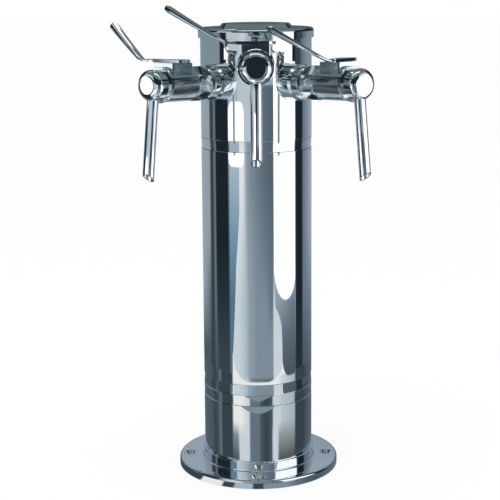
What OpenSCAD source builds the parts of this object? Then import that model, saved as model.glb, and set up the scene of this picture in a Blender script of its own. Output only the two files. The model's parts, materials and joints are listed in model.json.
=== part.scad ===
// Column drink tower with a bolted base flange, a lift-off cap and ball-valve taps.
// Up is +Z, the taps face -Y, and the origin is the centre of the flange's underside.

/* [Base] */
// Diameter of the base flange
flange_d = 150; // [146:1:190]
// Thickness of the base flange
flange_t = 8; // [7:0.5:14]
// Radius of the flange's rounded upper rim
flange_round = 2.5; // [1:0.5:3.5]
// Height of the collar round the foot of the column
hub_h = 9; // [6:0.5:16]
// Wall of that collar
hub_wall = 1.5; // [1.2:0.1:2.5]
// Fillet between the collar and the flange
hub_fillet = 1.2; // [0.5:0.1:2]
// Diameter of the circle of mounting holes
bolt_circle_d = 130; // [128:1:132]
// Number of mounting holes
bolt_count = 4; // [3:1:8]
// Diameter of a mounting hole
bolt_hole_d = 6; // [4:0.5:7]
// Diameter of its countersink at the top face
bolt_sink_d = 12.5; // [9:0.5:13]
// Thickness of the ledge that the inner tube stands on
ledge_t = 3; // [2:0.5:4]
// Width of that ledge inside the tube
ledge_w = 1.2; // [0.8:0.1:3]
// Diameter of the gasket ring in the flange's underside
gasket_d = 113; // [112:0.5:114]
// Width of the gasket ring
gasket_w = 3.5; // [2:0.5:4]
// Thickness of the gasket ring
gasket_t = 2; // [1:0.5:3]

/* [Column] */
// Outside diameter of the column
column_d = 101.6; // [96:0.1:104]
// Wall of the outer sleeves and trim rings
sleeve_wall = 1.5; // [1.2:0.1:2]
// Wall of the inner tube that carries them
core_wall = 2; // [1.5:0.1:2.5]
// Length of the lower sleeve above the flange
lower_sleeve_h = 62; // [40:1:90]
// Height of one trim ring
trim_h = 10; // [6:0.5:14]
// Length of the middle sleeve
middle_sleeve_h = 214; // [160:1:320]
// Length of the upper sleeve, which the taps pass through
upper_sleeve_h = 90; // [70:1:120]
// Bevel at the ends of sleeves and rings, which makes the seam lines
seam_bevel = 0.3; // [0.2:0.1:0.5]
// How much the two rings beside the middle sleeve narrow towards it
trim_taper = 0.6; // [0:0.1:0.6]
// How much the lowest ring narrows towards the base
low_ring_taper = 0.3; // [0:0.1:0.5]

/* [Cap] */
// How far the cap's lip stands out from the column
cap_overhang = 2; // [1:0.1:4]
// Height of the cap's lip
cap_h = 9; // [7:0.5:16]
// Radius of the lip's upper edge
cap_round = 3; // [1:0.5:4]
// Thickness of the cap's top plate
cap_plate_t = 3; // [2:0.5:4]
// Diameter of the raised disc on the cap, at its foot
cap_disc_d = 67.6; // [50:0.1:80]
// Height of the raised disc
cap_disc_h = 3.6; // [1.5:0.1:6]
// How much the disc's side slopes inwards
cap_disc_slope = 3; // [1:0.5:5]
// Length of the skirt that plugs into the inner tube
cap_skirt_h = 9; // [7:0.5:9]
// Wall of that skirt
cap_skirt_wall = 2.4; // [2:0.1:3]
// Thickness of the round grip ring in the skirt's groove
grip_ring_t = 2.4; // [1.8:0.1:2.8]

/* [Tap places] */
// Angle between neighbouring taps, seen from above
tap_spread = 38.5; // [37:0.5:60]
// How far the centre tap's axis is below the top of the column
centre_drop = 22; // [22:0.5:26]
// How far the side taps' axes are below the top of the column
side_drop = 38; // [36:0.5:46]
// How far each tap tips up towards its front
tap_tilt = 2; // [0:0.5:4]

/* [Shank and couplings] */
// Diameter of the shank that passes through the column's wall
shank_d = 16; // [14:0.5:17]
// Diameter of the shank's bore
shank_bore_d = 8; // [6:0.5:9]
// How far the shank reaches inwards from the column's face
shank_in_len = 20; // [19:0.5:23]
// How far its front end lies outside the column's face
shank_out_len = 33; // [30:0.5:36]
// Diameter of the deep round escutcheon on the column
cover_d = 32.4; // [30:0.2:34]
// Diameter of the escutcheon's front face
cover_face_d = 29.2; // [27:0.2:30]
// Length of the escutcheon from the column's face
cover_len = 15.2; // [13:0.2:20]
// Length of the slope round its front edge
cover_slope_len = 2.4; // [1:0.2:4]
// Bevel round its back edge, beside the column
cover_back = 2; // [1:0.5:3]
// Diameter of the lock collar
collar_d = 28.5; // [24:0.5:29]
// Length of the lock collar
collar_len = 10; // [7:0.5:14]
// Width across the flats of the six-sided coupling nut
coupling_af = 26; // [24:0.5:27]
// Length of the coupling nut
coupling_len = 16; // [14:0.5:22]
// Width across the flats of the hexagonal nut inside the column
shank_nut_af = 22; // [20:0.5:24]
// Length of the nut inside the column
shank_nut_len = 6; // [5:0.5:7]
// Diameter of the saddle washer behind it
saddle_d = 25; // [22:0.5:25]
// Thickness of the saddle washer at its thinnest
saddle_t = 1.8; // [1:0.1:2.5]

/* [Tap body] */
// Diameter of the tap body
body_d = 29; // [27:0.5:32]
// Length of the tap body between its two end bevels
body_len = 32.5; // [31:0.5:40]
// Length of the bevel at the body's rear
rear_bevel_len = 3; // [2:0.5:5]
// Length of the bevel at the body's front
front_bevel_len = 2.5; // [2:0.5:4]
// How deep both end bevels go in from the body's side
bevel_depth = 1.9; // [1:0.1:2.5]
// Distance of the lever's stem behind the body's front
stem_back = 16; // [15.5:0.5:17]
// Width of the stem housing on top of the body
block_w = 23.6; // [20:0.2:26]
// Length of the stem housing along the body
block_len = 25; // [20:0.5:27]
// Height of the stem housing's top above the body's axis
block_h = 18.6; // [18:0.1:22]
// Bevel on the housing's upright edges
block_bevel = 0.8; // [0.3:0.1:1.5]
// Diameter of the thin ring in front of the body
ring_d = 30.4; // [28:0.2:34]
// Thickness of that ring
ring_t = 1.4; // [1:0.1:2.5]

/* [Nozzle and spout] */
// Diameter of the round-nosed nozzle
nozzle_d = 26.6; // [24:0.2:29]
// Distance of the spout's root in front of the ring
spout_out = 6.2; // [5:0.2:9]
// Distance of the nozzle's flat facet in front of the spout's root
nose_out = 8.5; // [7:0.5:11]
// Diameter of that facet
facet_d = 14.6; // [10:0.2:18]
// Diameter of the spout tube
spout_d = 10; // [9:0.5:11]
// Wall of the spout tube
spout_wall = 1.2; // [0.8:0.1:1.6]
// Length of the spout from its root on the nozzle's axis to its tip
spout_len = 81; // [60:1:110]
// How far the spout leans outwards from square to the tap's axis
spout_lean = 4.5; // [0:0.5:8]
// Angle of the slanted cut at the spout's tip
spout_cut = 35; // [0:1:45]
// Distance of the spout's inner end below that root
spout_socket = 6; // [5:0.5:8]

/* [Valve] */
// Diameter of the valve chamber in the body
chamber_d = 18; // [17.4:0.2:19]
// Diameter of the valve ball
valve_ball_d = 15.6; // [15:0.2:16]
// Diameter of the way through the valve ball
valve_bore_d = 7; // [5:0.5:8]
// Length of the valve chamber on each side of the valve ball's centre
chamber_half = 9.5; // [9:0.1:10]
// Diameter of the stem
stem_d = 7.8; // [7:0.2:8.4]
// Diameter of the bush round the stem in the housing's top
bush_d = 13; // [12:0.5:14]
// Length of that bush
bush_len = 4.4; // [3:0.2:5]
// Width of the stem's tang and of its slot in the valve ball
tang_w = 3; // [2:0.2:4]
// Depth of that slot
tang_h = 2.2; // [1.6:0.1:2.6]
// Width across the flats of the stem's square top
drive_w = 4.8; // [4:0.2:5.2]

/* [Lever] */
// Thickness of the lever's flat plate
plate_t = 2.6; // [2:0.1:4]
// Radius of the plate's round tail
tail_r = 9.2; // [8:0.1:11]
// Distance of the tail's centre to the right of the stem
tail_x = 7.5; // [4:0.5:10]
// Angle at which the plate runs forwards from the tail
arm_heading = 22; // [10:1:28]
// Distance from the tail's centre to the bend
arm_len = 33.5; // [30:0.5:40]
// Angle at which the handle runs back from the bend, in plan
handle_heading = 18; // [0:1:24]
// Length of the handle beyond the bend
handle_len = 61; // [45:1:70]
// Slope of the handle just past the bend
handle_slope = 27; // [24:1:34]
// Slope of the handle at its tip
tip_slope = 31; // [24:1:38]
// Width of the handle near its tip
handle_w = 8.5; // [8:0.5:10]
// Width of the handle at the bend
neck_w = 6.5; // [5.5:0.5:8]
// Thickness of the handle at the bend
neck_t = 2.1; // [1.6:0.1:2.4]
// Thickness of the handle near its tip
tip_t = 5.8; // [3:0.1:6.4]
// Opening angle of the lever shown, zero is shut
lever_turn = 0; // [0:5:90]

/* [Lines] */
// Outside diameter of an inlet tube
line_d = 8; // [6:0.5:8]
// Wall of an inlet tube
line_wall = 1; // [0.8:0.1:1.2]
// Distance of an inlet tube's axis from the shank's inner end
line_in = 6; // [6:0.5:8]
// Outside diameter of the elbow behind the shank
elbow_d = 11; // [10.5:0.5:12]
// Length of the elbow's lower leg below the tap's axis
elbow_leg = 16; // [14:0.5:20]
// How far an inlet tube reaches into the elbow
line_grip = 8; // [6:0.5:9]
// Height of the inlet tubes' lower ends above the flange's underside
line_end_h = 6; // [4:0.5:12]
// Length of the plain hose tail below each tube's stop bead
hose_tail = 16; // [12:0.5:20]
// Height of the stop bead
bead_h = 2; // [1:0.5:3]
// How far the bead stands out from the tube
bead_out = 0.9; // [0.5:0.1:1.4]
// Height of the guide plate above the flange's underside
guide_z = 34; // [30:1:60]
// Thickness of the guide plate
guide_t = 3; // [2:0.5:5]

/* [Fits] */
// Radial clearance between pieces that are fitted and stay still
fit_gap = 0.05; // [0.02:0.01:0.1]
// Radial clearance of a turning shaft
run_gap = 0.08; // [0.05:0.01:0.1]
// Clearance between pieces that move past each other
move_gap = 0.3; // [0.25:0.05:0.4]

/* [Hidden] */
$fn = 96;
// Overrun of every cut past the surface that it leaves
over = 1;
column_r = column_d / 2;
flange_r = flange_d / 2;
core_r = column_r - sleeve_wall - fit_gap;
core_in_r = core_r - core_wall;
hub_r = column_r + hub_wall + fit_gap;
ledge_r = core_in_r - ledge_w;
lower_top = flange_t + lower_sleeve_h;
middle_z = lower_top + trim_h * 2;
middle_top = middle_z + middle_sleeve_h;
upper_z = middle_top + trim_h;
column_top = upper_z + upper_sleeve_h;
// Bevels of turned edges
small_bevel = 0.6;
hub_bevel = 0.8;

// Stations along a tap, measured outwards from the column's axis
cover_front = column_r + cover_len;
collar_front = cover_front + collar_len;
coupling_front = collar_front + coupling_len;
barrel_rear = coupling_front + rear_bevel_len;
barrel_front = barrel_rear + body_len;
body_front = barrel_front + front_bevel_len;
ring_front = body_front + ring_t;
spout_at = ring_front + spout_out;
stem_at = body_front - stem_back;
chamber_rear = stem_at - chamber_half;
chamber_front = stem_at + chamber_half;
shank_rear = column_r - shank_in_len;
shank_front = column_r + shank_out_len;
saddle_rear = sqrt(core_in_r * core_in_r - saddle_d * saddle_d / 4) - saddle_t;
nut_rear = saddle_rear - shank_nut_len;
line_at = shank_rear - line_in;
nozzle_r = nozzle_d / 2;
nose_round = nozzle_r - facet_d / 2;
spigot_d = shank_d;
seal_t = 1;
plate_z = block_h + move_gap;
valve_r = valve_ball_d / 2;
tang_z = sqrt(valve_r * valve_r - stem_d * stem_d / 4) - tang_h;
screw_head_d = stem_d;
screw_share = 0.6;
screw_d = drive_w * screw_share;
screw_len = 7;
collar_groove = 0.7;
grip_out = 0.5;
skirt_r = core_in_r - move_gap - grip_out;
elbow_stub = 7;
elbow_bore_d = 5.4;
elbow_ball_out = 0.8;
// Length of the lever's bend, and the rings of points along and round its handle
bend_len = 9;
lever_steps = 26;
lever_sides = 20;
// Shares of the sizes they are used with
path_start_share = 0.6;
plate_neck_share = 0.75;
oblong_share = 0.62;
tip_end_share = 0.14;
guide_depth_share = 0.36;
collar_groove_share = 0.72;
ring_bevel_share = 0.3;
seat_share = 0.62;
drive_share = 0.35;
path_start = arm_len * path_start_share;
path_len = arm_len + handle_len - path_start;
path_step = path_len / lever_steps;

TAPS = ["left", "centre", "right"];
TAP_PIECES = ["escutcheon", "shank", "coupling_nut", "tap_body", "face_ring", "nozzle", "spout",
    "elbow", "inlet_tube", "lever", "lever_screw", "stem", "valve_ball"];
TOWER_PIECES = ["base_flange", "base_gasket", "inner_tube", "lower_sleeve", "lower_trim_ring",
    "upper_trim_ring", "middle_sleeve", "top_trim_ring", "upper_sleeve", "cap", "cap_grip_ring",
    "lock_collars", "saddle_washers", "shank_nuts", "coupling_seals", "valve_seats", "stem_bushes",
    "tube_guide"];

chrome = [0.74, 0.78, 0.82];
steel = [0.62, 0.66, 0.7];
dull_steel = [0.5, 0.53, 0.56];
black_rubber = [0.08, 0.08, 0.09];
white_plastic = [0.93, 0.93, 0.9];
brass = [0.78, 0.62, 0.3];

function tap_angle(i) = (i - 1) * tap_spread;
function tap_height(i) = column_top - (i == 1 ? centre_drop : side_drop);

// Places children in a tap's own frame: outwards is -Y, and the column's axis is at Y = 0
module at_tap(i) {
    rotate([0, 0, tap_angle(i)])
        translate([0, -column_r, tap_height(i)])
            rotate([-tap_tilt, 0, 0])
                translate([0, column_r, 0])
                    children();
}

module at_taps() {
    for (i = [0 : len(TAPS) - 1]) at_tap(i) children();
}

// Turns a solid drawn along +Z so that it runs outwards along the tap from station s
module along(s) {
    translate([0, -s, 0]) rotate([90, 0, 0]) children();
}

// Turns the lever and what moves with it about the stem
module on_stem() {
    translate([0, -stem_at, 0]) rotate([0, 0, lever_turn]) children();
}

// Leans children down the spout: their +Z runs from the spout's root out of its tip
module down_spout() {
    translate([0, -spout_at, 0]) rotate([180 - spout_lean, 0, 0]) children();
}

// A ring with square ends and bevelled outer edges
module bevelled_ring(r_in, r_out, h, bevel) {
    rotate_extrude()
        polygon([[r_in, 0], [r_out - bevel, 0], [r_out, bevel], [r_out, h - bevel],
            [r_out - bevel, h], [r_in, h]]);
}

// A nut with flat sides and bevelled ends
module flat_nut(sides, across, h, bore_d) {
    corner_r = across / 2 / cos(180 / sides);
    bevel = corner_r - across / 2;
    difference() {
        intersection() {
            rotate([0, 0, 180 / sides]) cylinder(r = corner_r, h = h, $fn = sides);
            bevelled_ring(0, corner_r, h, bevel);
        }
        translate([0, 0, -over]) cylinder(d = bore_d, h = h + over * 2);
    }
}

// The flange, its collar and the seats for the tube and the lower sleeve
module base_flange() {
    color(chrome)
    difference() {
        rotate_extrude() difference() {
            union() {
                square([flange_r - flange_round, flange_t]);
                square([flange_r, flange_t - flange_round]);
                translate([flange_r - flange_round, flange_t - flange_round])
                    circle(r = flange_round);
                square([hub_r - hub_bevel, flange_t + hub_h]);
                square([hub_r, flange_t + hub_h - hub_bevel]);
                translate([hub_r - hub_bevel, flange_t + hub_h - hub_bevel])
                    circle(r = hub_bevel);
                square([hub_r + hub_fillet, flange_t + hub_fillet]);
            }
            translate([hub_r + hub_fillet, flange_t + hub_fillet]) circle(r = hub_fillet);
            translate([0, -over]) square([ledge_r, flange_t + hub_h + over * 2]);
            translate([0, ledge_t]) square([core_r + fit_gap, flange_t + hub_h + over]);
            translate([0, flange_t]) square([column_r + fit_gap, hub_h + over]);
            translate([gasket_d / 2 - gasket_w / 2 - fit_gap, -over])
                square([gasket_w + fit_gap * 2, gasket_t + over]);
        }
        for (k = [0 : bolt_count - 1])
            rotate([0, 0, k * 360 / bolt_count]) translate([bolt_circle_d / 2, 0, 0])
                mounting_hole();
    }
}

module mounting_hole() {
    sink_h = (bolt_sink_d - bolt_hole_d) / 2;
    translate([0, 0, -over]) cylinder(d = bolt_hole_d, h = flange_t + over * 2);
    translate([0, 0, flange_t - sink_h])
        cylinder(d1 = bolt_hole_d, d2 = bolt_sink_d, h = sink_h);
    translate([0, 0, flange_t]) cylinder(d = bolt_sink_d, h = over);
}

module base_gasket() {
    color(black_rubber) difference() {
        cylinder(d = gasket_d + gasket_w, h = gasket_t);
        translate([0, 0, -over]) cylinder(d = gasket_d - gasket_w, h = gasket_t + over * 2);
    }
}

// The three holes that the shanks pass through
module shank_holes() {
    at_taps() along(column_r / 2) cylinder(d = shank_d + fit_gap * 2, h = column_r);
}

module inner_tube() {
    color(dull_steel) difference() {
        translate([0, 0, ledge_t]) cylinder(r = core_r, h = column_top - ledge_t);
        cylinder(r = core_in_r, h = column_top + over);
        shank_holes();
    }
}

module sleeve(z, h) {
    translate([0, 0, z]) bevelled_ring(core_r + fit_gap, column_r, h, seam_bevel);
}

// A trim ring whose side may slope: its foot and its top each have their own radius
module trim_ring(z, foot_r, top_r) {
    ring_in_r = core_r + fit_gap;
    translate([0, 0, z]) rotate_extrude()
        polygon([[ring_in_r, 0], [foot_r - seam_bevel, 0], [foot_r, seam_bevel],
            [top_r, trim_h - seam_bevel], [top_r - seam_bevel, trim_h], [ring_in_r, trim_h]]);
}

module lower_sleeve() color(chrome) sleeve(flange_t, lower_sleeve_h);
module lower_trim_ring() color(steel) trim_ring(lower_top, column_r - low_ring_taper, column_r);
module upper_trim_ring()
    color(chrome) trim_ring(lower_top + trim_h, column_r, column_r - trim_taper);
module middle_sleeve() color(chrome) sleeve(middle_z, middle_sleeve_h);
module top_trim_ring() color(steel) trim_ring(middle_top, column_r - trim_taper, column_r);
module upper_sleeve() {
    color(chrome) difference() {
        sleeve(upper_z, upper_sleeve_h);
        shank_holes();
    }
}

// The cap: a lip with a round edge, a raised disc and a skirt that plugs into the tube
module cap() {
    lip_r = column_r + cap_overhang;
    disc_r = cap_disc_d / 2;
    color(chrome) translate([0, 0, column_top]) rotate_extrude() difference() {
        union() {
            translate([0, -cap_skirt_h]) square([skirt_r, cap_skirt_h + over]);
            square([lip_r - cap_round, cap_h]);
            square([lip_r, cap_h - cap_round]);
            translate([lip_r - cap_round, cap_h - cap_round]) circle(r = cap_round);
            polygon([[0, cap_h - over], [disc_r, cap_h - over], [disc_r, cap_h],
                [disc_r - cap_disc_slope, cap_h + cap_disc_h], [0, cap_h + cap_disc_h]]);
        }
        translate([0, -cap_skirt_h - over])
            square([skirt_r - cap_skirt_wall, cap_skirt_h + over + cap_h - cap_plate_t]);
        translate([skirt_r + grip_out - grip_ring_t / 2, -cap_skirt_h / 2])
            square([grip_ring_t + fit_gap * 2, grip_ring_t + fit_gap * 2], center = true);
    }
}

module cap_grip_ring() {
    color(black_rubber) translate([0, 0, column_top - cap_skirt_h / 2])
        rotate_extrude() translate([skirt_r + grip_out - grip_ring_t / 2, 0])
            circle(d = grip_ring_t);
}

// The deep round cover that seats on the column round the shank
module escutcheon(i) {
    cover_r = cover_d / 2;
    back_r = cover_r - cover_back;
    back_s = sqrt(column_r * column_r - cover_r * cover_r) - over;
    color(chrome) difference() {
        at_tap(i) along(0) rotate_extrude() difference() {
            polygon([[0, back_s], [back_r, back_s], [back_r, column_r - cover_back],
                [cover_r, column_r], [cover_r, cover_front - cover_slope_len],
                [cover_face_d / 2, cover_front], [0, cover_front]]);
            translate([0, -over]) square([shank_d / 2 + fit_gap, cover_front + over * 2]);
        }
        cylinder(r = column_r + fit_gap, h = column_top);
    }
}

// The threaded tube that holds the tap to the column's wall
module shank(i) {
    color(steel) at_tap(i) along(shank_rear)
        bevelled_ring(shank_bore_d / 2, shank_d / 2, shank_front - shank_rear, small_bevel);
}

// Smooth collars that lock the shanks against the escutcheons
module lock_collars() {
    color(chrome) at_taps() along(cover_front)
        rotate_extrude() difference() {
            polygon([[0, 0], [collar_d / 2 - small_bevel, 0], [collar_d / 2, small_bevel],
                [collar_d / 2, collar_len - small_bevel],
                [collar_d / 2 - small_bevel, collar_len], [0, collar_len]]);
            translate([0, -over]) square([shank_d / 2 + fit_gap, collar_len + over * 2]);
            translate([collar_d / 2, collar_len * collar_groove_share]) circle(r = collar_groove);
        }
}

// Washers with a curved back that fit the inside of the inner tube
module saddle_washers() {
    color(dull_steel) intersection() {
        at_taps() along(saddle_rear) difference() {
            cylinder(d = saddle_d, h = core_r - saddle_rear);
            translate([0, 0, -over]) cylinder(d = shank_d + fit_gap * 2, h = core_r);
        }
        cylinder(r = core_in_r - fit_gap, h = column_top);
    }
}

module shank_nuts() {
    color(steel) at_taps() along(nut_rear)
        flat_nut(6, shank_nut_af, shank_nut_len, shank_d + fit_gap * 2);
}

// The six-sided nut that draws the tap's tail against the shank
module coupling_nut(i) {
    color(chrome) at_tap(i) along(collar_front)
        flat_nut(6, coupling_af, coupling_len, shank_d + fit_gap * 2);
}

module coupling_seals() {
    color(black_rubber) at_taps() along(shank_front) difference() {
        cylinder(d = shank_d - seal_t, h = seal_t);
        translate([0, 0, -over]) cylinder(d = shank_bore_d, h = seal_t + over * 2);
    }
}

// The tap's body: a turned barrel with a rectangular stem housing on top
module tap_body(i) {
    r = body_d / 2;
    tail = shank_front + seal_t;
    color(chrome) at_tap(i) difference() {
        union() {
            along(0) rotate_extrude()
                polygon([[0, tail], [spigot_d / 2 - small_bevel, tail],
                    [spigot_d / 2, tail + small_bevel], [spigot_d / 2, coupling_front],
                    [r - bevel_depth, coupling_front], [r, barrel_rear], [r, barrel_front],
                    [r - bevel_depth, body_front], [0, body_front]]);
            translate([0, -stem_at, 0]) linear_extrude(block_h) block_outline();
        }
        along(tail - over) cylinder(d = shank_bore_d, h = stem_at - tail);
        along(chamber_rear) cylinder(d = chamber_d, h = body_front - chamber_rear + over);
        translate([0, -stem_at, 0]) {
            cylinder(d = stem_d + run_gap * 2, h = block_h + over);
            translate([0, 0, block_h - bush_len])
                cylinder(d = bush_d + fit_gap * 2, h = bush_len + over);
        }
    }
}

module block_outline() {
    w = block_w / 2;
    l = block_len / 2;
    b = block_bevel;
    polygon([[b - w, -l], [w - b, -l], [w, b - l], [w, l - b], [w - b, l], [b - w, l],
        [-w, l - b], [-w, b - l]]);
}

// Pairs of seat rings that seal on the valve balls
module valve_seats() {
    seat_face = valve_r * seat_share;
    color(white_plastic) at_taps() for (side = [0, 1])
        along(stem_at) mirror([0, 0, side]) rotate_extrude() difference() {
            translate([valve_bore_d / 2, seat_face])
                square([chamber_d / 2 - fit_gap - valve_bore_d / 2, chamber_half - seat_face]);
            circle(r = valve_r + run_gap);
        }
}

module valve_ball(i) {
    color(steel) at_tap(i) on_stem() difference() {
        sphere(r = valve_r);
        translate([-valve_ball_d, 0, 0]) rotate([0, 90, 0])
            cylinder(d = valve_bore_d, h = valve_ball_d * 2);
        translate([-valve_ball_d, -tang_w / 2, tang_z])
            cube([valve_ball_d * 2, tang_w, valve_ball_d]);
    }
}

// The stem: a foot hollowed to clear the valve ball, a tang in its slot and a square top
module stem(i) {
    tang = tang_w - fit_gap * 2;
    drive = drive_w - fit_gap * 2;
    drive_z = valve_r + run_gap;
    color(steel) at_tap(i) on_stem() difference() {
        union() {
            intersection() {
                translate([-stem_d / 2, -tang / 2, tang_z + fit_gap]) cube([stem_d, tang, stem_d]);
                cylinder(d = stem_d, h = block_h);
            }
            difference() {
                translate([0, 0, tang_z]) cylinder(d = stem_d, h = plate_z - tang_z);
                sphere(r = valve_r + run_gap);
            }
            translate([-drive / 2, -drive / 2, drive_z])
                cube([drive, drive, plate_z + plate_t * drive_share - drive_z]);
        }
        translate([0, 0, plate_z + plate_t - screw_len])
            cylinder(d = screw_d + fit_gap * 2, h = screw_len + over);
    }
}

module stem_bushes() {
    color(brass) at_taps() translate([0, -stem_at, block_h - bush_len]) difference() {
        cylinder(d = bush_d, h = bush_len);
        translate([0, 0, -over]) cylinder(d = stem_d + run_gap * 2, h = bush_len + over * 2);
    }
}

// The thin bright ring between the body and the nozzle
module face_ring(i) {
    color(chrome) at_tap(i) along(body_front)
        bevelled_ring(chamber_d / 2 + fit_gap, ring_d / 2, ring_t, ring_t * ring_bevel_share);
}

// The round-nosed nozzle with a flat facet, a tail in the body and a socket for the spout
module nozzle(i) {
    color(chrome) at_tap(i) difference() {
        along(0) rotate_extrude() union() {
            translate([0, chamber_front])
                square([chamber_d / 2 - fit_gap, spout_at - chamber_front]);
            translate([0, ring_front]) square([nozzle_r, spout_out + nose_out - nose_round]);
            translate([0, ring_front]) square([facet_d / 2, spout_out + nose_out]);
            translate([facet_d / 2, spout_at + nose_out - nose_round]) circle(r = nose_round);
        }
        along(chamber_front - over)
            cylinder(d = valve_bore_d, h = spout_at - chamber_front + over);
        down_spout() cylinder(d = valve_bore_d, h = spout_socket + over);
        down_spout() translate([0, 0, spout_socket])
            cylinder(d = spout_d + fit_gap * 2, h = nozzle_d);
    }
}

// The spout tube, cut on a slant that faces outwards
module spout(i) {
    short_side = spout_len - spout_d * tan(spout_cut);
    color(chrome) at_tap(i) down_spout() difference() {
        translate([0, 0, spout_socket]) cylinder(d = spout_d, h = spout_len - spout_socket);
        translate([0, 0, spout_socket - over])
            cylinder(d = spout_d - spout_wall * 2, h = spout_len);
        translate([0, spout_d / 2, short_side]) rotate([-spout_cut, 0, 0])
            translate([-spout_d, -spout_d * 3, 0]) cube([spout_d * 2, spout_d * 4, spout_len]);
    }
}

// Path of the lever from its tail, in plan and in height, as it turns and climbs at the bend
function smooth(t) = let (u = min(max(t, 0), 1)) u * u * (3 - 2 * u);
function bend_at(s) = smooth((s + path_start - arm_len + bend_len / 2) / bend_len);
function climb_at(s) = bend_at(s) * (handle_slope
    + (tip_slope - handle_slope) * past_bend(s));
function heading_at(s) = 180 + arm_heading - (arm_heading + handle_heading) * bend_at(s);
function path_dir(s) = let (h = heading_at(s), c = climb_at(s))
    [cos(c) * cos(h), cos(c) * sin(h), sin(c)];
function path_points(k) = k == 0
    ? [[tail_x - path_start * cos(arm_heading), -path_start * sin(arm_heading), plate_t / 2]]
    : let (before = path_points(k - 1))
        concat(before, [before[k - 1] + path_dir((k - 0.5) * path_step) * path_step]);

// Half sizes of the handle at a station: both grow from the bend to a round tip
function tip_close(s) = let (r = handle_w / 2, t = (s - path_len + r) / r)
    t <= 0 ? 1 : max(sqrt(max(1 - t * t, 0)), tip_end_share);
function past_bend(s) = max(s + path_start - arm_len, 0) / handle_len;
function handle_half_w(s) =
    ((neck_w + (handle_w - neck_w) * past_bend(s)) / 2 - fit_gap) * tip_close(s);
function handle_half_t(s) =
    (neck_t + (tip_t - neck_t) * past_bend(s)) / 2 * (tip_close(s) + 1) / 2;
// A rounded oblong, from -1 to 1 each way
function bulge(t) = sign(t) * pow(abs(t), oblong_share);
function oblong(a) = [bulge(cos(a)), bulge(sin(a))];

module handle() {
    points = path_points(lever_steps);
    rings = [for (k = [0 : lever_steps]) let (
            s = k * path_step,
            d = path_dir(s),
            side = [-sin(heading_at(s)), cos(heading_at(s)), 0],
            up = cross(d, side))
        [for (j = [0 : lever_sides - 1]) let (o = oblong(j * 360 / lever_sides))
            points[k] + side * o[0] * handle_half_w(s) + up * o[1] * handle_half_t(s)]];
    skin = [for (k = [0 : lever_steps - 1]) for (j = [0 : lever_sides - 1]) let (
            a = k * lever_sides + j,
            b = k * lever_sides + (j + 1) % lever_sides)
        each [[a, a + lever_sides, b], [b, a + lever_sides, b + lever_sides]]];
    last = lever_steps * lever_sides;
    polyhedron(
        points = [for (ring = rings) each ring],
        faces = concat(skin,
            [for (j = [1 : lever_sides - 2]) [0, j, j + 1]],
            [for (j = [1 : lever_sides - 2]) [last, last + j + 1, last + j]]));
}

// Outline of the plate: a round tail that narrows to the handle's width
module plate_outline() {
    neck_r = neck_w / 2;
    d = arm_len * plate_neck_share;
    turn = acos((tail_r - neck_r) / d);
    translate([tail_x, 0]) rotate(180 + arm_heading) union() {
        circle(r = tail_r);
        translate([d, 0]) circle(r = neck_r);
        polygon([[tail_r * cos(turn), tail_r * sin(turn)],
            [d + neck_r * cos(turn), neck_r * sin(turn)],
            [d + neck_r * cos(turn), -neck_r * sin(turn)],
            [tail_r * cos(turn), -tail_r * sin(turn)]]);
    }
}

module lever(i) {
    color(chrome) at_tap(i) on_stem() translate([0, 0, plate_z]) difference() {
        union() {
            linear_extrude(plate_t) plate_outline();
            handle();
        }
        translate([-drive_w / 2, -drive_w / 2, -over]) cube([drive_w, drive_w, plate_t + over * 2]);
        translate([0, 0, plate_t * drive_share]) cylinder(d = screw_head_d + fit_gap * 2, h = plate_t);
    }
}

module lever_screw(i) {
    slot_w = screw_d / 3;
    color(steel) at_tap(i) on_stem() translate([0, 0, plate_z + plate_t * drive_share])
        difference() {
            union() {
                cylinder(d = screw_head_d, h = plate_t * (1 - drive_share));
                translate([0, 0, plate_t * (1 - drive_share) - screw_len + fit_gap])
                    cylinder(d = screw_d, h = screw_len - plate_t * (1 - drive_share));
            }
            translate([-screw_head_d, -slot_w / 2, plate_t * (1 - drive_share) / 2])
                cube([screw_head_d * 2, slot_w, plate_t]);
        }
}

// Where a tap's axis passes over its inlet tube, in the frame of the column
function line_radius() = column_r - (column_r - line_at) * cos(tap_tilt);
function line_top(i) = tap_height(i) - (column_r - line_at) * sin(tap_tilt);

module at_line(i) {
    rotate([0, 0, tap_angle(i)]) translate([0, -line_radius(), 0]) children();
}

// The elbow that plugs into the shank's inner end and turns down to the inlet tube
module elbow(i) {
    color(brass) difference() {
        union() {
            at_tap(i) along(line_at) cylinder(d = elbow_d, h = line_in);
            at_tap(i) along(line_at)
                cylinder(d = shank_bore_d - fit_gap * 2, h = line_in + elbow_stub);
            at_line(i) translate([0, 0, line_top(i)]) sphere(d = elbow_d + elbow_ball_out * 2);
            at_line(i) translate([0, 0, line_top(i) - elbow_leg]) cylinder(d = elbow_d, h = elbow_leg);
        }
        at_tap(i) along(line_at) cylinder(d = elbow_bore_d, h = line_in + elbow_stub + over);
        at_line(i) translate([0, 0, line_top(i) - elbow_leg - over])
            cylinder(d = line_d - line_wall * 2, h = elbow_leg + over);
        at_line(i) translate([0, 0, line_top(i) - elbow_leg - over])
            cylinder(d = line_d + fit_gap * 2, h = line_grip + over);
    }
}

// A straight inlet tube with a stop bead above its hose tail
module inlet_tube(i) {
    bead_z = line_end_h + hose_tail;
    top = line_top(i) - elbow_leg + line_grip;
    r = line_d / 2;
    color(steel) at_line(i) rotate_extrude() difference() {
        union() {
            translate([0, line_end_h]) square([r, top - line_end_h]);
            translate([0, bead_z]) square([r + bead_out, bead_h]);
        }
        square([r - line_wall, column_top]);
    }
}

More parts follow.
